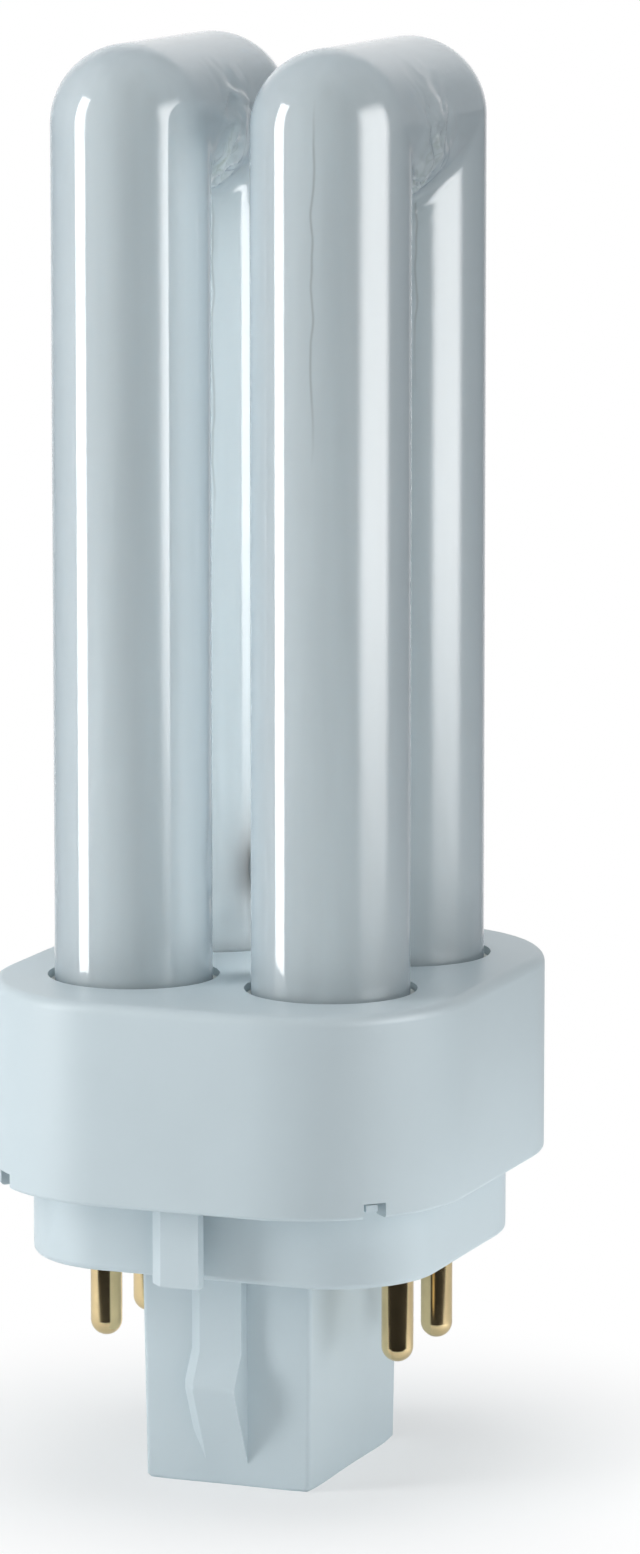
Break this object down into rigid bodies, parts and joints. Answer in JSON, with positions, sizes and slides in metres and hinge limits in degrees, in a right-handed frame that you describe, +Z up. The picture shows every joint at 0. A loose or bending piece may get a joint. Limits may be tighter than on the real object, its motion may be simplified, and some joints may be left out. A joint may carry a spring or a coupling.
{
  "type": "pin base compact fluorescent lamp",
  "caption": "Plug-in compact fluorescent lamp: glass U-bends in a moulded holder, over a cap with gilt contact pins, a keyed collar and a square centre post with snap ribs.",
  "frame": {"origin": "middle of the flat end of the centre post, the lowest point of the lamp as it stands cap down", "axes": "+Z up along the lamp from the cap to the glass, +X across the pair of U-bends and along the long side of the pin pattern, -Y the front"},
  "size_m": [0.0352, 0.0386, 0.103],
  "materials": {
    "tube_glass": "clear glass over a white phosphor coat",
    "holder_plastic": "satin moulded",
    "cap_plastic": "satin moulded",
    "cement": "dull, gritty",
    "pin_metal": "polished",
    "wire_metal": "bright drawn wire"
  },
  "bodies": {
    "root": {"discharge_tube": "tube_glass", "tube_holder": "holder_plastic", "pin_cap": "cap_plastic", "cement_ring_front_left": "cement", "cement_ring_front_right": "cement", "cement_ring_back_left": "cement", "cement_ring_back_right": "cement", "contact_pin_front_left": "pin_metal", "contact_pin_front_right": "pin_metal", "contact_pin_back_left": "pin_metal", "contact_pin_back_right": "pin_metal", "lead_wire_front_left": "wire_metal", "lead_wire_front_right": "wire_metal", "lead_wire_back_left": "wire_metal", "lead_wire_back_right": "wire_metal"}
  },
  "joints": []
}
